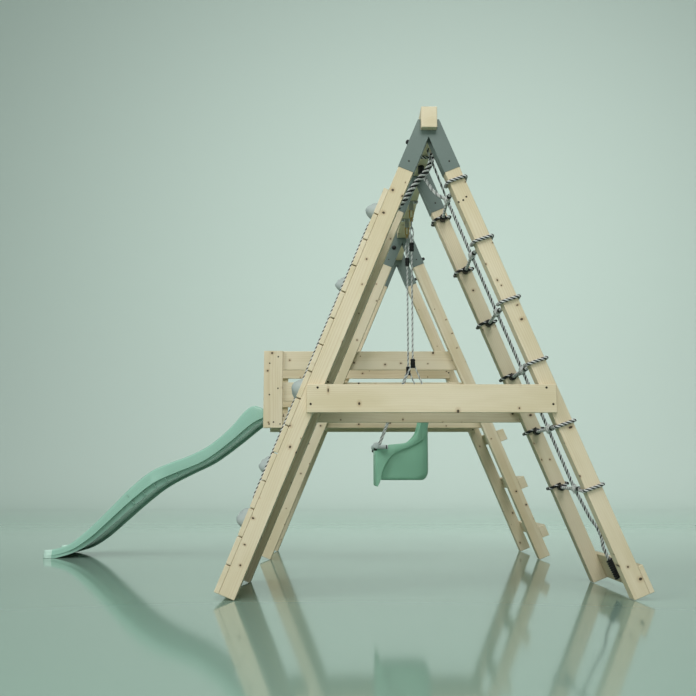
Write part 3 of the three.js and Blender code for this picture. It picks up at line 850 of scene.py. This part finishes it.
def make_safety_bar():
    skin = Skin()
    half = (SWING_Y["far"] - SWING_Y["near"]) / 2 + BAR_PAST_ROPES
    end = [(0, -half), (9, -half), (13, -half + 2), (BAR_RADIUS, -half + 6)]
    bar = end + [(radius, -height) for radius, height in reversed(end)]
    skin.lathe(bar, placed(ALONG_Y, BAR_X, SEAT_Y, BAR_Z), 28)
    collar = [(BAR_RADIUS, -16), (16.5, -15), (17.5, -13)]
    collar += [(radius, -height) for radius, height in reversed(collar)]
    for y in SWING_Y.values():
        skin.lathe(collar, placed(ALONG_Y, BAR_X, y, BAR_Z), 28)
        lug = placed(ALONG_X, BAR_X, y, BAR_Z - LUG_DROP)
        skin.lathe([(0, 0), (11.5, 0), (11.5, 50), (10.5, 52), (0, 52)], lug, 24)
        skin.lathe([(0, 52), (10, 52), (10, 58), (0, 58)], lug, 24, 1)
        skin.lathe([(0, 58), (12.5, 58), (12.5, 62), (11, 64), (0, 64)], lug, 24)
        peg = [(0, 0), (9, 0), (9, 14), (7, 16), (0, 16)]
        skin.lathe(peg, placed(TURN_ROUND, BAR_X - 4, y, BAR_Z - 12), 18, 1)
    skin.piece("seat_bar", (BAR_GREY, BLACK), "grey_plastic", "safety_bar", body=BAR_BODY, crease=40)


EYE_TOP, SLEEVE_TOPS, FORK_Z = 1884, (1793, 1142), 1110
SIDE_OF_EYE = [(2, 1790), (9, 1838), (7, 1868)]
ROPE_START_Z = 1760
FRONT_TIE, BACK_TIE = (-186, 664, 8), (88, 908, 14)
TIE_DROP = 6
EYE_RADIUS, SWING_ROPE_RADIUS, TIE_RADIUS = 4.2, 5, 4.4
SWING_ROPE_PITCH = 0.030
SWING_LAY = [0, 0, 1]
SLEEVE = [
    (0, 0), (10, 0), (13, -4), (13, -12), (12, -14), (12, -17), (13, -19), (13, -31), (12, -33), (12, -36),
    (13, -38), (13, -46), (10, -50), (0, -50),
]


def swing_rope(skin, path, radius):
    twist(skin, path, radius * MM, SWING_ROPE_PITCH, SWING_LAY)


def make_swing_ropes():
    for word, y in SWING_Y.items():
        inward = 1 if y < SEAT_Y else -1
        side_y = SEAT_Y - inward * (SEAT_HALF + 1)
        skin = Skin()
        eye = [at(-x, y, z) for x, z in SIDE_OF_EYE] + [at(0, y, EYE_TOP)]
        eye += [at(x, y, z) for x, z in reversed(SIDE_OF_EYE)]
        swing_rope(skin, smooth_path(eye), EYE_RADIUS)
        swing_rope(skin, [at(0, y, ROPE_START_Z), at(0, y, FORK_Z)], SWING_ROPE_RADIUS)
        for x, z, into_seat in (FRONT_TIE, BACK_TIE):
            end = at(x, side_y + inward * into_seat, z - TIE_DROP)
            swing_rope(skin, [at(0, y, FORK_Z + 20), at(x, y, z), end], TIE_RADIUS)
        for top in SLEEVE_TOPS:
            skin.lathe(SLEEVE, placed(UPRIGHT, 0, y, top), 20, 2)
        skin.piece(f"rope_swing_{word}", (ROPE_PALE, ROPE_GREY, BLACK), "rope", f"swing_rope_{word}",
                   body=SWING_BODY, crease=40)


def hexagon(skin, across, tall, matrix):
    """A hexagonal bolt head or nut with a chamfered top."""
    corner = across / sqrt(3)
    profile = [(0, 0), (corner, 0), (corner, tall * 0.8), (corner * 0.86, tall), (0, tall)]
    skin.lathe(profile, matrix, 6)


RIDGE_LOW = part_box("ridge_beam")[0].z / MM
PLATE_TOP = RIDGE_LOW - 0.3
PLATE_X, PLATE_Y, PLATE_CORNER, PLATE_THICK = 30, 14, 8, 5
PIVOT_Z = 1985
EAR_OFFSET, EAR_RADIUS, EAR_HALF = 10, 11, 1.8


def plate_outline():
    outline = []
    for x, y, start in ((PLATE_X, PLATE_Y, 0), (-PLATE_X, PLATE_Y, 90), (-PLATE_X, -PLATE_Y, 180),
                        (PLATE_X, -PLATE_Y, 270)):
        outline += arc(x, y, PLATE_CORNER, start, 90, 4)
    return outline


def make_hangers():
    for word, y in SWING_Y.items():
        skin = Skin()
        levels = (PLATE_TOP - PLATE_THICK, PLATE_TOP - 1, PLATE_TOP)
        skin.grid([[at(px, y + py, z) for px, py in plate_outline()] for z in levels])
        ear = [(-EAR_RADIUS, PLATE_TOP - 4), (EAR_RADIUS, PLATE_TOP - 4)]
        ear += arc(0, PIVOT_Z, EAR_RADIUS, 0, -180, 6)
        for offset in (-EAR_OFFSET, EAR_OFFSET):
            sides = (-EAR_HALF, EAR_HALF)
            skin.grid([[at(px, y + offset + half, z) for px, z in ear] for half in sides])
        skin.lathe([(0, -13), (4, -13), (4, 13), (0, 13)], placed(ALONG_Y, 0, y, PIVOT_Z), 16)
        hexagon(skin, 12, 5, placed(ALONG_Y, 0, y - 12, PIVOT_Z))
        hexagon(skin, 12, 5, placed(ALONG_Y @ TURN_ROUND, 0, y + 12, PIVOT_Z))
        for side in (LEFT, RIGHT):
            hexagon(skin, 15, 7, placed(TURN_ROUND, side * 26, y, PLATE_TOP - PLATE_THICK))
        skin.piece(f"hanger_{word}", (ZINC,), "galvanised_steel", f"swing_hanger_{word}", crease=30)


def stadium(half_wide, low, high):
    """A closed upright oval of points (across, height)."""
    top = arc(0, high - half_wide, half_wide, 0, 180, 8)
    return top + arc(0, low + half_wide, half_wide, 180, 180, 8)


def ring_of_rod(skin, points, radius, material=0):
    rows = []
    count = len(points)
    for i, point in enumerate(points):
        tangent = (points[(i + 1) % count] - points[i - 1]).normalized()
        across = point - sum(points, Vector()) / count
        side = (across - tangent * across.dot(tangent)).normalized()
        rows.append(ring_round(point, side, tangent.cross(side), radius, 10))
    skin.grid(rows, material, closed_along=True)


SWIVEL_Z = 1912
# Half the width, the lowest and the highest point of each oval, and the radius of its rod.
HOOK, HOOK_ROD = (10, 1932, 1982), 3.4
SHACKLE, SHACKLE_ROD = (8, 1872, 1918), 2.8


def make_links():
    for word, y in SWING_Y.items():
        skin = Skin()
        bush = [(5.2, -7), (10, -7), (10, 7), (5.2, 7)]
        skin.lathe(bush + bush[:1], placed(ALONG_Y, 0, y, PIVOT_Z), 20)
        hook = [at(x, y, z) for x, z in stadium(*HOOK)]
        ring_of_rod(skin, hook, HOOK_ROD * MM)
        swivel = [(0, 0), (6, 0), (8, 2), (8, 10), (5, 13), (5, 17), (7, 19), (7, 24), (0, 26)]
        skin.lathe(swivel, placed(UPRIGHT, 0, y, SWIVEL_Z), 18)
        shackle = [at(0, y + across, z) for across, z in stadium(*SHACKLE)]
        ring_of_rod(skin, shackle, SHACKLE_ROD * MM, 1)
        skin.piece(f"link_{word}", (BRASS, ZINC), "brass_plated_steel", f"swing_link_{word}",
                   body=SWING_BODY, crease=30)


# ---- rope net

NET_RADIUS = 7
NET_RUNGS, NET_HIGHEST, NET_PITCH, NET_DEPTH = 6, 1928, 290, -33
NET_MIDDLE_Y = (LEG_Y["a"] + LEG_Y["b"] + LEG) / 2
KNOT_LIFT, KNOT_LIFT_LOSS = 20, 5
ROPE_OFF_WOOD = NET_RADIUS + 3
RIDGE_HALF, RIDGE_HIGH = 35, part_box("ridge_beam")[1].z / MM
NET_PITCH_OF_LAY = 0.036
NET_LAY = [0, 1, 0, 1]
LASHING_PITCH, LASHING_TURNS, WINDING_PITCH = 14.5, 1.02, 18
LOOP_STEPS, SQUARENESS = 28, 7


def net_rope(skin, path, radius, lay):
    twist(skin, path, radius * MM, NET_PITCH_OF_LAY, lay)


def loop_round(half_wide, half_tall, turns):
    """Points of a rounded-square loop round a timber, as (across, along, share of a turn)."""
    points = []
    wide, tall = half_wide + ROPE_OFF_WOOD, half_tall + ROPE_OFF_WOOD
    for i in range(round(turns * LOOP_STEPS) + 1):
        angle = 2 * pi * i / LOOP_STEPS
        c, s = cos(angle), sin(angle)
        stretch = (abs(c) ** SQUARENESS + abs(s) ** SQUARENESS) ** (-1 / SQUARENESS)
        points.append((wide * c * stretch, tall * s * stretch, i / LOOP_STEPS))
    return points


def rung_up(index):
    return NET_HIGHEST - index * NET_PITCH


def net_knot(index):
    lift = KNOT_LIFT - KNOT_LIFT_LOSS * index
    return on_leg(RIGHT, rung_up(index) + lift, NET_DEPTH, NET_MIDDLE_Y)


def lashing(index, letter):
    """The rope round one leg at a rung, starting and ending on the side that faces the net's middle."""
    towards = 1 if letter == "a" else -1
    points = []
    for across, along, turn in loop_round(LEG / 2, LEG / 2, LASHING_TURNS):
        y = LEG_MIDDLE[letter] + towards * across
        points.append(on_leg(RIGHT, rung_up(index) + LASHING_PITCH * turn, along - LEG / 2, y))
    return points


def ferrule(skin, place, direction, radius, half):
    """A black clamp with a waist round a rope."""
    waist, end = radius - 1, radius - 3
    profile = [
        (0, -half), (end, -half), (radius, 3 - half), (radius, -4), (waist, -2), (waist, 2), (radius, 4),
        (radius, half - 3), (end, half), (0, half),
    ]
    skin.lathe(profile, facing(place, direction), 16, 2)


WOUND_STEPS, WOUND_SPACING = 14, 2.05


def wound(skin, place, direction, radius, rope_radius, turns, material):
    """A short close winding of thin rope round a line; the radii are millimetres."""
    side, up = frames_along([place, place + direction])[0]
    pitch = rope_radius * MM * WOUND_SPACING
    path = []
    for i in range(round(turns * WOUND_STEPS) + 1):
        angle = 2 * pi * i / WOUND_STEPS
        along = direction.normalized() * pitch * (i / WOUND_STEPS - turns / 2)
        path.append(place + along + (side * cos(angle) + up * sin(angle)) * (radius * MM))
    rows = [ring_round(point, *sides, rope_radius * MM, 8) for point, sides in zip(path, frames_along(path))]
    skin.grid(rows, material)


# The clamp near each leg's end of a rung: its radius, half its length, and its share of the way to the knot.
FERRULE = {"a": (11, 13, 0.72), "b": (16, 22, 0.08)}
RUNG_LAY = {"a": NET_LAY, "b": [0, 0, 1, 0]}
KNOT_RADIUS, KNOT_ROPE, KNOT_TURNS = 10.5, 4.2, 4
END_ROPE, END_TURNS = 5, 9


def add_rung(skin, index):
    knot = net_knot(index)
    for letter in "ab":
        loop = lashing(index, letter)
        inner = loop[0]
        net_rope(skin, loop, NET_RADIUS, RUNG_LAY[letter])
        net_rope(skin, [inner, knot], NET_RADIUS, [1, 3, 1])
        radius, half, share = FERRULE[letter]
        ferrule(skin, inner.lerp(knot, share), knot - inner, radius, half)
    across = (knot - lashing(index, "a")[0]).normalized()
    for way in (across, up_leg(RIGHT)):
        wound(skin, knot, way, KNOT_RADIUS, KNOT_ROPE, KNOT_TURNS, 1)


def ridge_winding(y):
    """One turn of rope round the ridge."""
    middle_z = (RIDGE_LOW + RIDGE_HIGH) / 2
    loop = loop_round(RIDGE_HALF, RIDGE_HIGH - middle_z, 1)
    return [at(across, y + WINDING_PITCH * turn, middle_z + along) for across, along, turn in loop]


NET_FOOT = [(326, -22), (276, -10), (228, -10), (182, -22), (129, -20), (30, -16)]
NET_HANGERS = [
    ([(18, 228, RIDGE_LOW - 0.5), (18, 228, 2010), (30, 236, 1985)], 5, [1, 3, 0]),
    ([(5, 468, RIDGE_LOW - 0.5), (5, 468, 2010), (9, 462, 1985), (61, 400, 1874)], 8, [1, 3, 1]),
]


def make_net():
    skin = Skin()
    for index in range(NET_RUNGS):
        add_rung(skin, index)
    foot = [on_leg(RIGHT, up, out, NET_MIDDLE_Y) for up, out in NET_FOOT]
    middle_rope = [net_knot(index) for index in range(NET_RUNGS)] + foot
    net_rope(skin, middle_rope, NET_RADIUS, [1, 0, 1, 3])
    end = foot[-1].lerp(foot[-2], 0.5)
    wound(skin, end, foot[-2] - foot[-1], KNOT_RADIUS, END_ROPE, END_TURNS, 0)
    for route, radius, lay in NET_HANGERS:
        path = [at(*place) for place in route] + [net_knot(0)]
        net_rope(skin, smooth_path(path), radius, lay)
    clamp = at(*NET_HANGERS[1][0][0])
    ferrule(skin, clamp - Z_AXIS * 0.022, Z_AXIS, 16, 20)
    skin.piece("climbing_net", (ROPE_BLACK, ROPE_PALE, BLACK, ROPE_GREY), "rope", "rope_net")


WALL_FACE = 22.3
WALL_ROPE_Y, WALL_ROPE_LOW, WALL_ROPE_HIGH, WALL_ROPE_OUT = 310, 385, 1811, 46
WALL_ROPE_RADIUS, WALL_ROPE_LAY_PITCH = 7, 0.042
DOUBLED_RADIUS, DOUBLED_LAY_PITCH = 12.5, 0.056
DOUBLED_FROM = (1856, -34)
DOUBLED_SAG = [(-83, 1813), (-28, 1894), (24, 1956), (55, 2040)]


def make_wall_rope():
    """Wound round the ridge, doubled down to the wall, through the top of it and down its outer face."""
    skin = Skin()
    run = [
        DOUBLED_FROM, (WALL_ROPE_HIGH + 12, -12), (WALL_ROPE_HIGH, -6), (WALL_ROPE_HIGH, 29),
        (WALL_ROPE_HIGH - 12, WALL_ROPE_OUT - 7), (WALL_ROPE_HIGH - 50, WALL_ROPE_OUT),
        (WALL_ROPE_LOW + 25, WALL_ROPE_OUT), (WALL_ROPE_LOW, WALL_ROPE_OUT - 7), (WALL_ROPE_LOW, WALL_FACE),
    ]
    path = [on_leg(LEFT, up, out, WALL_ROPE_Y) for up, out in run]
    twist(skin, path, WALL_ROPE_RADIUS * MM, WALL_ROPE_LAY_PITCH, NET_LAY)
    doubled = [path[0]] + [at(x, WALL_ROPE_Y, z) for x, z in DOUBLED_SAG]
    twist(skin, smooth_path(doubled), DOUBLED_RADIUS * MM, DOUBLED_LAY_PITCH, NET_LAY, 9)
    net_rope(skin, [doubled[-1]] + ridge_winding(WALL_ROPE_Y), WALL_ROPE_RADIUS, NET_LAY)
    cup = [(7, 0), (13, 0), (13, 3), (11, 6), (7, 6)]
    for up in (WALL_ROPE_LOW, WALL_ROPE_HIGH):
        place = on_leg(LEFT, up, WALL_FACE, WALL_ROPE_Y)
        skin.lathe(cup + cup[:1], facing(place, out_of_leg(LEFT)), 24, 2)
    skin.piece("climbing_rope", (ROPE_BLACK, ROPE_PALE, BLACK), "rope", "wall_rope", crease=40)


# ---- climbing holds

# Each hold: how far up the wall it is, its Y, how far it stands out, and its radius.
HOLDS = [(1817, 220, 51, 48), (1479, 400, 64, 48), (926, 220, 47, 58), (556, 400, 64, 52), (310, 220, 49, 48)]
HOLD_PROFILE = [
    (1.0, 0), (1.0, 0.16), (0.97, 0.34), (0.90, 0.55), (0.78, 0.75), (0.60, 0.90), (0.40, 0.98), (0.27, 1.0),
    (0.25, 0.97), (0.25, 0.80), (0.0, 0.80),
]
HOLD_SIDES, HOLD_SCALE, HOLD_OFF_WALL = 40, 0.95, 0.3
FINGER_DENT, OVAL_DENT = 0.24, 0.07
BOLT_SHARE, BOLT_DEPTH = 0.3, 0.8
HOLD_TILT, BOLT_TILT = 0.12, 0.02


def hold_ring(share, height, tall, wide, phase):
    """One ring of a hold, at a share of its radius and of how far it stands out."""
    ring = []
    for a in circle(HOLD_SIDES):
        fingers = 0.5 + 0.5 * cos(3 * a + phase)
        dent = 1 - FINGER_DENT * height * fingers - OVAL_DENT * cos(2 * a + phase)
        radius = wide * share * (dent if share > BOLT_SHARE else 1) * HOLD_SCALE
        lift = tall * height * (1 - (HOLD_TILT if share > BOLT_SHARE else BOLT_TILT) * cos(a + phase))
        ring.append(Vector((radius * cos(a), radius * sin(a), lift)) * MM)
    return ring


def make_holds():
    """Moulded holds: a lumpy dome with finger dents and a bolt sunk in its middle."""
    for number, (up, y, tall, wide) in enumerate(HOLDS, 1):
        skin = Skin()
        place = facing(on_leg(LEFT, up, WALL_FACE + HOLD_OFF_WALL, y), out_of_leg(LEFT))
        phase = rng.uniform(0, 6)
        rings = [hold_ring(share, height, tall, wide, phase) for share, height in HOLD_PROFILE]
        skin.grid([[place @ point for point in ring] for ring in rings])
        head = [(0, 0), (7.5, 0), (7.5, 6), (6.5, 7), (4, 7), (4, 4), (0, 4)]
        skin.lathe(head, place @ Matrix.Translation((0, 0, tall * BOLT_DEPTH * MM)), 20, 1)
        skin.piece(f"hold_{number}", (HOLD_GREY, ZINC), "hold_plastic",
                   f"climbing_hold_{number}", crease=45)


# ---- screws and bolts


def screw(skin, place, out, radius=4.2):
    """A countersunk screw head with a round socket, just proud of the wood."""
    head = [
        (radius * 1.25, -0.6), (radius * 1.2, 0.15), (radius, 0.5), (radius * 0.55, 0.6), (radius * 0.5, 0.1),
        (0, 0.05),
    ]
    skin.lathe(head, facing(place, out), 14)


def cap_bolt(skin, place, out, radius, tall):
    """A black domed cap over a bolt head."""
    dome = [(radius, -0.5), (radius, tall * 0.35), (radius * 0.85, tall * 0.75), (radius * 0.5, tall)]
    skin.lathe([*dome, (0, tall)], facing(place, out), 20, 1)


def leg_x_at(z, out):
    """How far from the middle a line along the right leg is at a height."""
    up = (z - (LEG + out) * sin(LEAN)) / cos(LEAN)
    return FOOT_X + (LEG + out) * cos(LEAN) - up * sin(LEAN)


def face_y(node, far):
    return building_y(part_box(node)[1 if far else 0].y)


def outward(far):
    return Y_AXIS if far else -Y_AXIS


WALL_BOARDS, BOARD_PITCH, BOARD_SCREWS = 15, 125, (32, 88)
TREAD_UPS, TREAD_WIDE, TREAD_THICK, TREAD_SCREWS = (114, 434, 751), 70, 45, (-16, 16)
RAIL_SCREWS = [(-486, 881), (-515, 811), (484, 881), (511, 811)]
CROSSING_BOARDS = [("deck_beam_{}", 845), ("guard_rail_{}_lower", 1040), ("guard_rail_{}_lower", 1240)]
CROSSING_SCREWS = (-20, 20)
POST_SCREWS = [
    (-849, 834), (-821, 846), (-779, 834), (-849, 1020), (-795, 1060), (-849, 1220), (-795, 1262),
]
DECK_SCREW_SHARES, DECK_SCREW_INSET = (0.25, 0.75), 0.012
BRACKET_SCREW_X, BRACKET_SCREW_Z, BRACKET_SCREW_RADIUS = 89, 1885, 3.4
BRACKET_FACE = 2.3
WALL_CAP, LADDER_CAP, CAP_RADIUS = (LEFT, 2117, 13), (RIGHT, 2018, 22), 11
SIDE_CAP_X, SIDE_CAP_Z, SIDE_CAP_SIZE = -55, 1963, (14, 10)
NET_SCREWS, NET_SCREW_RADIUS = [(162, 1723), (148, 1708), (128, 1699)], 3.6


def add_board_screws(skin):
    """The screws of the wall boards on the left legs and of the net's foot board on the right ones."""
    for side, boards in ((LEFT, WALL_BOARDS), (RIGHT, 1)):
        for board, rise, letter in product(range(boards), BOARD_SCREWS, "ab"):
            place = on_leg(side, board * BOARD_PITCH + rise, WALL_FACE, LEG_MIDDLE[letter])
            screw(skin, place, out_of_leg(side))


def add_rail_screws(skin):
    for node, far in (("cross_rail_a", False), ("cross_rail_b", True)):
        for x, z in RAIL_SCREWS:
            screw(skin, at(x, face_y(node, far), z), outward(far))
    for letter, far in (("c", True), ("d", False)):
        for (node, middle_z), side, step in product(CROSSING_BOARDS, (LEFT, RIGHT), CROSSING_SCREWS):
            x = side * leg_x_at(middle_z + step, -LEG / 2) + step * 0.5
            screw(skin, at(x, face_y(node.format(letter), far), middle_z + step), outward(far))
        y = face_y(f"corner_post_{letter}", not far)
        for x, z in POST_SCREWS:
            screw(skin, at(x, y, z), outward(not far))


def add_deck_screws(skin):
    """The screws of the deck boards and of the ladder treads."""
    ends = (DECK_LOW.y + DECK_SCREW_INSET, DECK_HIGH.y - DECK_SCREW_INSET)
    for index, share, y in product(range(DECK_BOARDS), DECK_SCREW_SHARES, ends):
        screw(skin, Vector((DECK_LOW.x + DECK_PITCH * (index + share), y, DECK_HIGH.z)), Z_AXIS)
    for up, letter, step in product(TREAD_UPS, "cd", TREAD_SCREWS):
        place = on_leg(RIGHT, up + TREAD_WIDE / 2, TREAD_THICK + 0.3, LEG_MIDDLE[letter] + step)
        screw(skin, place, out_of_leg(RIGHT))


def add_bracket_bolts(skin):
    """The brackets' screws and caps, and the three screws on the leg between the net's first two rungs."""
    for letter in "abcd":
        for far, side in product((False, True), (LEFT, RIGHT)):
            place = at(side * BRACKET_SCREW_X, face_y(f"ridge_bracket_{letter}", far), BRACKET_SCREW_Z)
            screw(skin, place, outward(far), BRACKET_SCREW_RADIUS)
        side, up, tall = WALL_CAP if letter in "ab" else LADDER_CAP
        place = on_leg(side, up, BRACKET_FACE, LEG_MIDDLE[letter])
        cap_bolt(skin, place, out_of_leg(side), CAP_RADIUS, tall)
    place = at(SIDE_CAP_X, LEG_Y["c"] - BRACKET_FACE, SIDE_CAP_Z)
    cap_bolt(skin, place, -Y_AXIS, *SIDE_CAP_SIZE)
    for x, z in NET_SCREWS:
        screw(skin, at(x, LEG_Y["a"], z), -Y_AXIS, NET_SCREW_RADIUS)


def make_fasteners():
    skin = Skin()
    for add in (add_board_screws, add_rail_screws, add_deck_screws, add_bracket_bolts):
        add(skin)
    skin.piece("screws_and_bolts", (DARK_STEEL, BLACK), "dark_screw", crease=35)


# ---- stage and light

# The stage is a sheet swept across X, in metres: a floor along Y, a quarter arc and a wall.
FLOOR_START, FLOOR_END, ARC, WALL_TOP, STAGE_HALF = -10.0, 10.0, 4.0, 16.0, 18.0
ARC_STEPS = 90
GLOSSY_TO = 2.0
FLOOR_DROP = 0.0006
# Each light: its place and target in building millimetres, its size in metres, its watts, and if it reflects.
LIGHTS = {
    "key": ((200, -6600, 7600), (0, 1000, 900), (4.0, 4.0), 375, True),
    "side": ((-6500, -2600, 5200), (0, 1400, 900), (4.0, 4.0), 300, False),
    "fill": ((-600, -6500, 1500), (-200, 1000, 450), (3.0, 2.4), 120, False),
    "top": ((-400, 1500, 5800), (0, 1500, 0), (4.0, 4.0), 30, True),
    "backdrop": ((2200, 3200, 6600), (1600, 14000, 3600), (12.0, 6.0), 800, True),
}
WORLD_STRENGTH = 0.31


def make_stage():
    """A floor that shines near the camera and rises into a paler, dull backdrop."""
    s = Shader("studio_floor")
    depth = s.add("SeparateXYZ", Vector=s.object_place()).outputs[1]
    far = s.spread(depth, GLOSSY_TO, FLOOR_END + 1)
    s.paint(Base_Color=s.mix(far, rgb(136, 163, 149), rgb(201, 216, 208)))
    s.paint(Roughness=s.spread(depth, GLOSSY_TO, FLOOR_END - 1, 0.08, 0.7))
    profile = [(FLOOR_START, 0.0), (FLOOR_END - 0.2, 0.0), (FLOOR_END, 0.0)]
    for i in range(1, ARC_STEPS + 1):
        turn = pi / 2 * i / ARC_STEPS
        profile.append((FLOOR_END + ARC * sin(turn), ARC * (1 - cos(turn))))
    profile.append((FLOOR_END + ARC, WALL_TOP))
    rows = [[at(x / MM, y / MM, z / MM) for x in (-STAGE_HALF, STAGE_HALF)] for y, z in profile]
    skin = Skin()
    skin.grid(rows, sheet=True)
    stage = object_from("studio_floor", skin.mesh("studio_floor"), s.material)
    stage.data.shade_flat()
    stage.location.z = -FLOOR_DROP


def area_light(name, place, target, size, watts, glossy):
    data = bpy.data.lights.new(name, "AREA")
    data.shape = "RECTANGLE"
    data.size, data.size_y = size
    data.energy = watts
    lamp = bpy.data.objects.new(name, data)
    lamp.visible_glossy = glossy
    lamp.location = at(*place)
    lamp.rotation_euler = (at(*target) - lamp.location).to_track_quat("-Z", "Y").to_euler()
    bpy.context.scene.collection.objects.link(lamp)


def make_light():
    world = bpy.data.worlds.new("studio")
    world.use_nodes = True
    background = world.node_tree.nodes["Background"]
    background.inputs["Color"].default_value = rgb(196, 214, 205)
    background.inputs["Strength"].default_value = WORLD_STRENGTH
    bpy.context.scene.world = world
    for name, light in LIGHTS.items():
        area_light(name, *light)
    bpy.context.scene.view_settings.view_transform = "Standard"


for make in (make_camera, make_timber, make_deck, make_brackets, make_slide, make_seat, make_safety_bar,
             make_swing_ropes, make_hangers, make_links, make_net, make_wall_rope, make_holds, make_fasteners,
             make_stage, make_light):
    make()
